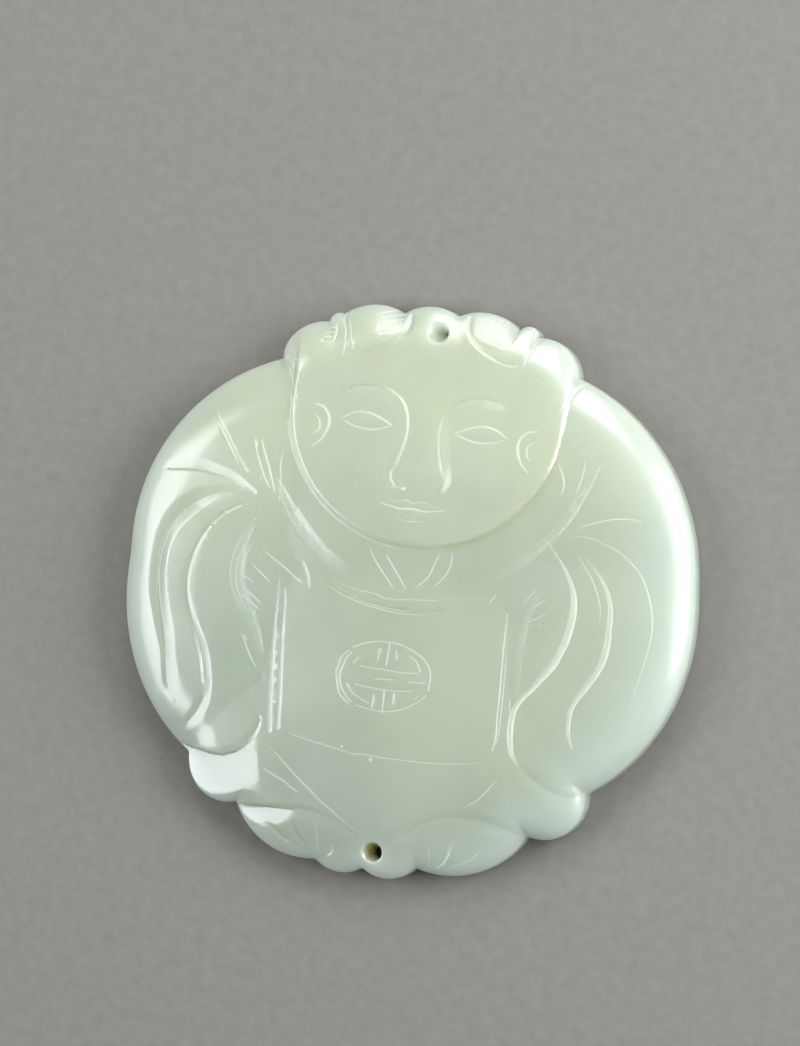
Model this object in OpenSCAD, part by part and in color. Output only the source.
// Round carved pendant in the form of a squat boy in a puff-sleeved robe.
// It lies on its flat back: +Z comes out of the carved front, +Y runs to the crown of the head.
// The origin is the middle of the outline, on the back. Lengths are millimetres, angles degrees.

/* [Roundel] */
// Full width, across the two sleeves
pendant_w = 58.2; // [46:0.2:74]
// Full height, from the feet to the crown
pendant_h = 57.2; // [46:0.2:74]
// Thickness of the slab under the carved forms
slab_t = 4.8; // [4.4:0.1:7]
// Height of the upright part of the rim
rim_wall = 2.9; // [2:0.1:3.6]
// Width of the rounding from the rim onto the front
rim_round = 4.6; // [2.4:0.1:6]
// Rounding of the back edge
back_round = 0.6; // [0.2:0.05:1]
// Swell of the front towards the middle
front_swell = 0.5; // [0:0.05:1.2]

/* [Cord holes] */
// Diameter of the upper cord hole, through the crown
top_hole_d = 2.0; // [1.2:0.1:2.6]
// From the top of the outline to the axis of the upper hole
top_hole_inset = 2.6; // [2.4:0.1:4]
// Diameter of the lower cord hole, between the feet
low_hole_d = 2.0; // [1.2:0.1:2.6]
// From the bottom of the outline to the axis of the lower hole
low_hole_inset = 2.5; // [2.4:0.1:4]
// Width of the level ring left round each hole
hole_land = 0.5; // [0.3:0.05:0.8]
// Drop of the crown below the forehead, at the upper hole
crown_drop = 0.35; // [0:0.05:0.8]
// Drop of the toes below the slab's front, at the lower hole
toe_drop = 0.3; // [0:0.05:0.8]

/* [Raised forms] */
// Width of the head at the temples
head_w = 28.4; // [22:0.2:34]
// Height of the head from chin to crown
head_h = 24.0; // [20:0.2:28]
// Rise of the head above the slab
head_rise = 0.55; // [0.2:0.05:1.4]
// Rise of the hair tufts above the head
tuft_rise = 0.25; // [0.05:0.05:0.6]
// Rise of the sleeves above the slab
sleeve_rise = 0.4; // [0.1:0.05:1.2]
// Rise of the collar above the slab
collar_rise = 0.3; // [0.1:0.05:0.8]
// Rise of the robe front and skirt above the slab
robe_rise = 0.3; // [0.1:0.05:0.8]

/* [Carved lines] */
// Width of a main sleeve fold
fold_w = 1.7; // [1.2:0.1:2.4]
// Depth of a main sleeve fold
fold_d = 0.35; // [0.1:0.05:0.7]
// Width of a plain line, such as a hem or a toe line
line_w = 1.0; // [0.8:0.05:1.6]
// Depth of a plain line
line_d = 0.12; // [0.04:0.02:0.3]
// Width of the small roundel on the robe
badge_w = 9.6; // [7:0.2:12]
// Height of the small roundel on the robe
badge_h = 6.8; // [5:0.2:9]
// Slope in degrees of the plane facets ground on the skirt and foot
facet_slope = 12; // [6:1:14]

/* [Output] */
// Node to draw

/* [Hidden] */
half_w = pendant_w / 2;
half_h = pendant_h / 2;
jade_colour = [0.78, 0.84, 0.74];
around = 208;
bore_facets = 48;

// Outline lobes. Columns: form, centre x, centre y, radius x, radius y, tilt.
// Lengths are shares of half the width and half the height, tilt is in degrees.
outline_lobes = [
    ["slab",              0.00,  0.00, 0.925, 0.925,   0],
    ["crown",            -0.03,  0.87, 0.150, 0.130,   0],
    ["left inner tuft",  -0.24,  0.87, 0.150, 0.112,  15],
    ["left tie",         -0.360, 0.905, 0.034, 0.036,  0],
    ["left outer tuft",  -0.418, 0.795, 0.130, 0.104, 28],
    ["left shoulder",    -0.30,  0.10, 0.700, 0.700,   0],
    ["left sleeve",      -0.38, -0.055, 0.617, 0.700,  0],
    ["left skirt",       -0.55, -0.66, 0.145, 0.155,   0],
    ["left foot",        -0.25, -0.69, 0.280, 0.280,   0],
    ["left toes",        -0.11, -0.87, 0.130, 0.130,   0],
    ["right toes",        0.05, -0.87, 0.130, 0.130,   0],
    ["right foot",        0.245, -0.64, 0.320, 0.320,  0],
    ["right skirt",       0.57, -0.64, 0.145, 0.150,   0],
    ["right sleeve",      0.40, -0.02, 0.610, 0.690,   0],
    ["right shoulder",    0.30,  0.08, 0.700, 0.766,   0],
    ["right outer tuft",  0.365, 0.795, 0.140, 0.142,  0],
    ["right tie",         0.31,  0.935, 0.036, 0.036,  0],
    ["right inner tuft",  0.16,  0.88, 0.155, 0.120,  -8]
];

// Raised forms. Columns: form, centre x, centre y, radius x, radius y, tilt, rise, edge.
// Lengths are shares of the half sizes, rise is millimetres, a low edge figure is a steep edge.
raised_forms = [
    ["robe front",       -0.02, -0.36, 0.500, 0.560,   0, robe_rise,        1.0],
    ["left skirt",       -0.46, -0.58, 0.300, 0.280,   0, robe_rise * 0.60, 1.0],
    ["right skirt",       0.48, -0.56, 0.300, 0.280,   0, robe_rise * 0.60, 1.0],
    ["collar",            0.00,  0.52, 0.600, 0.585,   0, collar_rise,      0.3],
    ["left shoulder",    -0.66,  0.40, 0.420, 0.360,  35, sleeve_rise,      1.0],
    ["right shoulder",    0.68,  0.42, 0.420, 0.360, -35, sleeve_rise,      1.0],
    ["left sleeve",      -0.80, -0.10, 0.420, 0.600,   4, sleeve_rise,      1.0],
    ["right sleeve",      0.80, -0.10, 0.420, 0.600,  -4, sleeve_rise,      1.0]
];

// Hair tufts, raised above the head. Columns as for the raised forms, rise as a share of tuft_rise.
hair_tufts = [
    ["left inner tuft",  -0.23,  0.890, 0.125, 0.070,  14, 1.0, 0.8],
    ["left outer tuft",  -0.44,  0.810, 0.100, 0.080,  25, 0.7, 0.8],
    ["right inner tuft",  0.20,  0.905, 0.120, 0.070, -14, 0.8, 0.8],
    ["right outer tuft",  0.41,  0.830, 0.100, 0.080, -25, 0.5, 1.0]
];

// Plane facets, each a floor that falls to one side and ends in steep walls.
// Columns: facet, a point on its upper edge (shares), the direction it falls to, slope as a share of
// facet_slope, then its walls: a point of each (shares) and the direction in which it stands.
facets = [
    ["left skirt corner", -0.430, -0.645, 182, 1.0,
        [[-0.608, -0.650, 80], [-0.494, -0.606, 131], [-0.446, -0.545, 158], [-0.490, -0.785, 277]]],
    ["left foot",         -0.300, -0.850, 198, 1.1,
        [[-0.340, -0.820, 92], [-0.300, -0.890, 285]]]
];

// Folds of the sleeves and the edges of the dress.
// Columns: fold, width left of the path, width right of it (shares of fold_w),
// depth (share of fold_d), then the path from its start to its end in shares of the half sizes.
folds = [
    ["left middle fold",  0.55, 0.75, 0.95,
        [[-0.727, 0.238], [-0.822, 0.152], [-0.868, 0.034], [-0.860, -0.106], [-0.825, -0.243], [-0.803, -0.381],
         [-0.758, -0.481]]],
    ["left inner fold",   0.50, 0.45, 0.80,
        [[-0.729, -0.160], [-0.699, -0.226], [-0.654, -0.362], [-0.645, -0.431], [-0.674, -0.526]]],
    ["left arm crease",   0.70, 0.45, 0.75,
        [[-0.875, 0.322], [-0.765, 0.329], [-0.644, 0.310], [-0.569, 0.277]]],
    ["left collar band",  0.45, 0.45, 0.35,
        [[-0.566, 0.471], [-0.520, 0.361], [-0.426, 0.239], [-0.333, 0.128]]],
    ["left hatch band",   0.45, 0.45, 0.25,
        [[-0.565, 0.161], [-0.608, 0.014], [-0.572, -0.111], [-0.489, -0.224], [-0.462, -0.295]]],
    ["right inner fold",  0.45, 0.45, 0.50,
        [[0.583, 0.115], [0.608, -0.022], [0.583, -0.132], [0.547, -0.207], [0.457, -0.335], [0.446, -0.449],
         [0.489, -0.549]]],
    ["right middle fold", 0.45, 0.45, 0.50,
        [[0.682, 0.146], [0.737, 0.029], [0.736, -0.126], [0.680, -0.257], [0.643, -0.367], [0.670, -0.468]]],
    ["right collar edge", 0.45, 0.45, 0.30,
        [[0.622, 0.522], [0.581, 0.401], [0.492, 0.241], [0.370, 0.137]]],
    ["left sleeve lip",   0.45, 0.50, 0.60,
        [[-0.664, -0.635], [-0.587, -0.649], [-0.499, -0.613], [-0.451, -0.545]]],
    ["right sleeve lip",  0.60, 0.50, 0.40,
        [[0.710, -0.620], [0.594, -0.617], [0.489, -0.549]]],
    ["left hem",          0.50, 0.45, 0.35,
        [[-0.489, -0.822], [-0.381, -0.808], [-0.257, -0.799], [-0.129, -0.830]]],
    ["right hem",         0.55, 0.60, 0.35,
        [[0.111, -0.831], [0.215, -0.768], [0.341, -0.751], [0.491, -0.781]]],
    ["crown left notch",  0.45, 0.45, 0.60,
        [[-0.113, 0.974], [-0.105, 0.940], [-0.136, 0.876], [-0.225, 0.822]]],
    ["crown right notch", 0.45, 0.45, 0.40,
        [[0.236, 0.832], [0.153, 0.871], [0.102, 0.935], [0.097, 0.973]]],
    ["right tuft and shoulder", 0.45, 0.45, 0.45,
        [[0.544, 0.822], [0.504, 0.772], [0.479, 0.722]]]
];

// Plain lines. Columns: line, width (share of line_w), depth (share of line_d), path.
lines = [
    ["left sleeve ray",   0.9, 0.5, [[-0.739, 0.537], [-0.652, 0.418], [-0.599, 0.344]]],
    ["left shoulder cut", 0.9, 0.5, [[-0.483, 0.436], [-0.477, 0.331], [-0.471, 0.261]]],
    ["right outer line",  0.9, 0.5, [[0.577, 0.270], [0.742, 0.231], [0.873, 0.047], [0.863, -0.176], [0.833, -0.360]]],
    ["right sleeve ray",  0.9, 0.4, [[0.600, 0.311], [0.707, 0.352], [0.826, 0.355]]],
    ["right shoulder cut", 0.9, 0.6, [[0.478, 0.511], [0.507, 0.451], [0.504, 0.366]]],
    ["collar hem",        1.0, 0.6, [[-0.42, 0.11], [-0.20, -0.03], [0.01, -0.065], [0.22, -0.02], [0.44, 0.14]]],
    ["left robe edge",    1.0, 0.9, [[-0.440, -0.006], [-0.430, -0.227], [-0.400, -0.540]]],
    ["right robe edge",   0.9, 0.6, [[0.371, -0.027], [0.374, -0.167], [0.381, -0.378], [0.380, -0.502]]],
    ["neck left",         0.9, 0.5, [[-0.102, 0.128], [-0.062, 0.076], [-0.009, 0.008]]],
    ["neck right",        0.9, 0.5, [[0.135, 0.154], [0.118, 0.085], [0.073, 0.023]]],
    ["waist line",        0.9, 0.4, [[-0.336, -0.539], [-0.152, -0.572], [0.066, -0.579], [0.343, -0.547]]],
    ["left skirt crease", 0.9, 0.5, [[-0.394, -0.600], [-0.226, -0.737], [-0.048, -0.851]]],
    ["right skirt crease", 0.9, 0.4, [[0.407, -0.599], [0.351, -0.676], [0.282, -0.731]]],
    ["left toe line",     1.0, 1.0, [[-0.381, -0.862], [-0.322, -0.904], [-0.296, -0.915]]],
    ["left middle toe line", 0.9, 0.8, [[-0.288, -0.840], [-0.258, -0.903], [-0.231, -0.931]]],
    ["left inner toe line", 0.9, 0.6, [[-0.206, -0.836], [-0.193, -0.937]]],
    ["right inner toe line", 0.9, 0.5, [[0.192, -0.859], [0.204, -0.928]]],
    ["right toe line",    0.9, 0.8, [[0.277, -0.834], [0.263, -0.885], [0.227, -0.936]]],
    ["left tuft tie",     0.9, 0.6, [[-0.340, 0.940], [-0.321, 0.834], [-0.320, 0.792]]],
    ["right tuft tie",    0.9, 0.8, [[0.354, 0.956], [0.331, 0.890], [0.310, 0.829]]],
    ["jaw line",          0.9, 0.6, [[-0.470, 0.520], [-0.380, 0.345], [-0.210, 0.206], [0.000, 0.152],
        [0.210, 0.206], [0.380, 0.345], [0.470, 0.520]]]
];

// Lines of the calm, regular face. Columns as for the plain lines,
// the path in shares of half the head's width and height from the head's middle.
face_lines = [
    ["left brow and nose",  0.75, 1.0, [[-0.62, 0.20], [-0.40, 0.30], [-0.16, 0.14], [-0.14, -0.22], [-0.19, -0.47]]],
    ["right brow and nose", 0.75, 1.0, [[0.62, 0.20], [0.40, 0.30], [0.16, 0.14], [0.14, -0.22], [0.19, -0.47]]],
    ["left eye",            0.75, 0.9, [[-0.60, -0.02], [-0.41, 0.03], [-0.23, -0.02]]],
    ["right eye",           0.75, 0.9, [[0.60, -0.02], [0.41, 0.03], [0.23, -0.02]]],
    ["mouth",               0.80, 1.0, [[-0.24, -0.66], [0.00, -0.69], [0.24, -0.66]]]
];

// Roundel on the robe. Columns as for the plain lines,
// the path in shares of half the roundel's width and height from its middle.
badge_x = -0.029 * half_w;
badge_y = -0.2975 * half_h;
badge_lines = [
    ["upper bar",   0.75, 1.0, [[-0.60, 0.20], [0.60, 0.20]]],
    ["lower bar",   0.75, 1.0, [[-0.60, -0.36], [0.60, -0.36]]],
    ["upper tick",  0.75, 1.0, [[0.00, 0.95], [0.00, 0.34]]],
    ["lower tick",  0.75, 1.0, [[0.00, -0.46], [0.00, -1.00]]]
];

crown_t = slab_t + head_rise - crown_drop;
toe_t = slab_t - toe_drop;
head_top = half_h - 0.1;
head_y = head_top - head_h / 2;
jaw_y = head_y + head_h * 0.0625;
jaw_h = head_h * 0.575;

// A value that eases from 0 at a to 1 at b.
function ease(a, b, v) =
    let (t = max(0, min(1, (v - a) / (b - a))))
    t * t * (3 - 2 * t);

// How far a point is out from the middle of a tilted oval, 1 at its edge.
function oval_at(x, y, cx, cy, rx, ry, tilt) =
    let (dx = x - cx, dy = y - cy)
    norm([(dx * cos(tilt) + dy * sin(tilt)) / rx, (dy * cos(tilt) - dx * sin(tilt)) / ry]);

// Distance from the middle to the far side of one lobe, in one direction.
function lobe_reach(lobe, a) =
    let (
        t = lobe[5],
        ox = -(lobe[1] * cos(t) + lobe[2] * sin(t)) / lobe[3],
        oy = -(lobe[2] * cos(t) - lobe[1] * sin(t)) / lobe[4],
        ux = cos(a - t) / lobe[3],
        uy = sin(a - t) / lobe[4],
        q = ux * ux + uy * uy,
        b = ox * ux + oy * uy,
        disc = b * b - q * (ox * ox + oy * oy - 1)
    )
    disc < 0 ? 0 : (sqrt(disc) - b) / q;

function reach(a) = max([for (lobe = outline_lobes) lobe_reach(lobe, a)]);

reaches = [for (i = [0 : around - 1]) reach(i * 360 / around)];
reach_x = [for (i = [0 : around - 1]) reaches[i] * cos(i * 360 / around)];
reach_y = [for (i = [0 : around - 1]) reaches[i] * sin(i * 360 / around)];
mid_x = (max(reach_x) + min(reach_x)) / 2;
mid_y = (max(reach_y) + min(reach_y)) / 2;
span_x = (max(reach_x) - min(reach_x)) / 2;
span_y = (max(reach_y) - min(reach_y)) / 2;

// Smooth path through given points, cut into short straight steps.
function bend(p0, p1, p2, p3, t) =
    0.5 * (2 * p1 + (p2 - p0) * t + (2 * p0 - 5 * p1 + 4 * p2 - p3) * t * t
        + (3 * p1 - p0 - 3 * p2 + p3) * t * t * t);

function smooth_path(pts, steps) =
    let (n = len(pts) - 1)
    [for (k = [0 : n * steps])
        let (
            i = min(n - 1, floor(k / steps)),
            t = k / steps - i,
            before = i > 0 ? pts[i - 1] : 2 * pts[0] - pts[1],
            after = i < n - 1 ? pts[i + 2] : 2 * pts[n] - pts[n - 1]
        )
        bend(before, pts[i], pts[i + 1], after, t)];

// A cut: [path in mm, width left, width right, depth, box of the path].
function cut(pts, wl, wr, d, cx, cy, sx, sy, steps) =
    let (
        path = [for (p = smooth_path(pts, steps)) [cx + p[0] * sx, cy + p[1] * sy]],
        m = max(wl, wr),
        xs = [for (p = path) p[0]],
        ys = [for (p = path) p[1]]
    )
    [path, wl, wr, d, [min(xs) - m, min(ys) - m, max(xs) + m, max(ys) + m]];

fold_cuts = [for (f = folds)
    cut(f[4], f[1] * fold_w, f[2] * fold_w, f[3] * fold_d, 0, 0, half_w, half_h, 3)];
line_cuts = [for (f = lines)
    cut(f[3], f[1] * line_w / 2, f[1] * line_w / 2, f[2] * line_d, 0, 0, half_w, half_h, 3)];
face_cuts = [for (f = face_lines)
    cut(f[3], f[1] * line_w / 2, f[1] * line_w / 2, f[2] * line_d, 0, head_y, head_w / 2, head_h / 2, 3)];
badge_cuts = [for (f = badge_lines)
    cut(f[3], f[1] * line_w / 2, f[1] * line_w / 2, f[2] * line_d, badge_x, badge_y, badge_w / 2, badge_h / 2, 1)];
all_cuts = concat(fold_cuts, line_cuts, face_cuts, badge_cuts);

// Signed distance of a point from one step of a path, with how far along the step it lies.
function step_gap(x, y, a, b) =
    let (
        vx = b[0] - a[0],
        vy = b[1] - a[1],
        wx = x - a[0],
        wy = y - a[1],
        t = max(0, min(1, (vx * wx + vy * wy) / (vx * vx + vy * vy))),
        gap = norm([wx - t * vx, wy - t * vy])
    )
    [gap, vx * wy - vy * wx >= 0 ? 1 : -1, t];

// Nearest step of a path to a point: [distance, side, place along the path from 0 to 1].
function nearest(x, y, path, i, best) =
    i >= len(path) - 1 ? best :
    let (s = step_gap(x, y, path[i], path[i + 1]))
    nearest(x, y, path, i + 1, s[0] < best[0] ? [s[0], s[1], (i + s[2]) / (len(path) - 1)] : best);

// Depth of one cut at a point: deepest on its path, fading to each side and towards both ends.
function cut_depth(x, y, c) =
    (x < c[4][0] || y < c[4][1] || x > c[4][2] || y > c[4][3]) ? 0 :
    let (
        s = nearest(x, y, c[0], 0, [1000, 1, 0]),
        w = s[1] > 0 ? c[1] : c[2],
        across = max(0, 1 - s[0] / w),
        ends = min(1, 0.3 + 5 * s[2], 0.3 + 5 * (1 - s[2]))
    )
    c[3] * ease(0, 1, across) * ends;

// Ring of the roundel on the robe.
function badge_ring(x, y) =
    let (q = norm([(x - badge_x) / (badge_w / 2), (y - badge_y) / (badge_h / 2)]))
    line_d * ease(0, 1, max(0, 1 - abs(q - 1) * badge_h / line_w));

function rise_of(f, x, y, mm) =
    let (q = oval_at(x / half_w, y / half_h, f[1], f[2], f[3], f[4], f[5]))
    q >= 1 ? 0 : mm * pow(1 - q * q, f[7]);

function head_rise_at(x, y) =
    let (q = norm([x / (head_w / 2), (y - jaw_y) / jaw_h]))
    q >= 1 ? 0 : head_rise * pow(1 - q * q, 0.25);

// Height of the polished front before any facet or cut, given the distance in from the rim.
function swollen_z(x, y, inset) =
    let (
        u = 1 - min(1, inset / rim_round),
        out = norm([x / half_w, y / half_h]),
        raised = max(concat([head_rise_at(x, y)], [for (f = raised_forms) rise_of(f, x, y, f[6])])),
        tufts = max([for (f = hair_tufts) rise_of(f, x, y, f[6] * tuft_rise)]),
        full = slab_t + front_swell * (1 - out * out) + raised + tufts
    )
    rim_wall + (full - rim_wall) * sqrt(1 - u * u);

// Height of one facet at a point: its sloping floor, or its nearest wall.
wall_rise = 2.5;
function facet_z(x, y, f) =
    let (
        dx = x - f[1] * half_w,
        dy = y - f[2] * half_h,
        fall = dx * cos(f[3]) + dy * sin(f[3]),
        beyond = max([for (w = f[5]) (x - w[0] * half_w) * cos(w[2]) + (y - w[1] * half_h) * sin(w[2])])
    )
    slab_t + front_swell * 0.4 - tan(f[4] * facet_slope) * fall + wall_rise * max(0, beyond);

// Height of the front above the back at a point, given its distance in from the rim.
function front_z(x, y, inset) =
    inset <= 0 ? rim_wall :
    let (
        ground = max(rim_wall, min(concat([swollen_z(x, y, inset)], [for (f = facets) facet_z(x, y, f)]))),
        cuts = max(concat([badge_ring(x, y)], [for (c = all_cuts) cut_depth(x, y, c)])),
        free = ground - cuts * ease(0, 1, inset),
        top_gap = norm([x, y - top_hole_y]) - top_hole_d / 2 - hole_land,
        low_gap = norm([x, y - low_hole_y]) - low_hole_d / 2 - hole_land,
        top_land = 1 - ease(0, 0.9, top_gap),
        low_land = 1 - ease(0, 0.9, low_gap)
    )
    free + (crown_t - free) * top_land + (toe_t - free) * low_land;

top_hole_y = half_h - top_hole_inset;
low_hole_y = low_hole_inset - half_h;

// Rings of the front from the rim inwards. Each is [points round, share of the reach].
// The points round halve as the rings close, so that the facets stay even.
mean_half = (half_w + half_h) / 2;
rim_steps = [0, 0.05, 0.15, 0.28, 0.43, 0.60, 0.80, 1.0];
rim_share = rim_round / mean_half;
outer_rings = 12;
middle_rings = 8;
inner_rings = 4;
core_rings = 2;
rings = concat(
    [for (s = rim_steps) [around, 1 - s * rim_share]],
    [for (i = [1 : outer_rings]) [around, 1 - rim_share - (0.5 - rim_share) * i / outer_rings]],
    [for (i = [1 : middle_rings]) [around / 2, 0.5 - 0.25 * i / middle_rings]],
    [for (i = [1 : inner_rings]) [around / 4, 0.25 - 0.125 * i / inner_rings]],
    [for (i = [1 : core_rings]) [around / 8, 0.125 - 0.08 * i / core_rings]]
);

// The rings follow the lobed rim at the edge and turn into plain ovals further in.
function ring_radius(k, f) = f + (reaches[k] - 1) * pow(f, 7);

function plan_at(k, f) =
    let (a = k * 360 / around, r = ring_radius(k, f))
    [half_w * (r * cos(a) - mid_x * f) / span_x, half_h * (r * sin(a) - mid_y * f) / span_y];

function front_ring(n, f) =
    [for (i = [0 : n - 1])
        let (
            k = i * around / n,
            p = plan_at(k, f),
            inset = f >= 1 ? 0 : norm(plan_at(k, 1) - p)
        )
        [p[0], p[1], front_z(p[0], p[1], inset)]];

function back_ring(inset, z) =
    [for (k = [0 : around - 1])
        let (p = plan_at(k, 1), s = 1 - inset / norm(p))
        [p[0] * s, p[1] * s, z]];

front_points = [for (r = rings) each front_ring(r[0], r[1])];
// Place in the list of points where each ring starts.
ring_starts = [for (i = 0, s = 0; i < len(rings); s = s + rings[i][0], i = i + 1) s];
core_point = len(front_points);
edge_start = core_point + 1;
bevel_start = edge_start + around;
back_start = bevel_start + around;
back_point = back_start + around;

points = concat(
    front_points,
    [[0, 0, front_z(0, 0, half_w)]],
    back_ring(0, back_round),
    back_ring(back_round * 0.3, back_round * 0.3),
    back_ring(back_round, 0),
    [[0, 0, 0]]
);

// Facets between two rings with the same number of points; a is the outer or upper one.
function even_band(a, b, n) =
    [for (i = [0 : n - 1])
        let (j = (i + 1) % n)
        each [[a + i, b + i, a + j], [a + j, b + i, b + j]]];

// Facets between an outer ring and an inner ring with half its points.
function halving_band(a, b, n) =
    [for (i = [0 : n / 2 - 1])
        let (p = a + 2 * i, q = a + 2 * i + 1, r = a + (2 * i + 2) % n, s = b + i, t = b + (i + 1) % (n / 2))
        each [[p, s, q], [q, s, t], [q, t, r]]];

function core_fan(a, n, c) = [for (i = [0 : n - 1]) [a + i, c, a + (i + 1) % n]];

function flipped(faces) = [for (f = faces) [f[2], f[1], f[0]]];

front_faces = [for (i = [0 : len(rings) - 2])
    each (rings[i][0] == rings[i + 1][0]
        ? even_band(ring_starts[i], ring_starts[i + 1], rings[i][0])
        : halving_band(ring_starts[i], ring_starts[i + 1], rings[i][0]))];
last_ring = len(rings) - 1;

faces = concat(
    front_faces,
    core_fan(ring_starts[last_ring], rings[last_ring][0], core_point),
    flipped(even_band(0, edge_start, around)),
    flipped(even_band(edge_start, bevel_start, around)),
    flipped(even_band(bevel_start, back_start, around)),
    flipped(core_fan(back_start, around, back_point))
);

module cord_hole(y, d, deep) {
    translate([0, y, -1])
        cylinder(h = deep + 2, d = d, $fn = bore_facets);
}

module jade_pendant() {
    color(jade_colour)
        difference() {
            polyhedron(points = points, faces = faces, convexity = 6);
            cord_hole(top_hole_y, top_hole_d, crown_t);
            cord_hole(low_hole_y, low_hole_d, toe_t);
        }
}

jade_pendant();
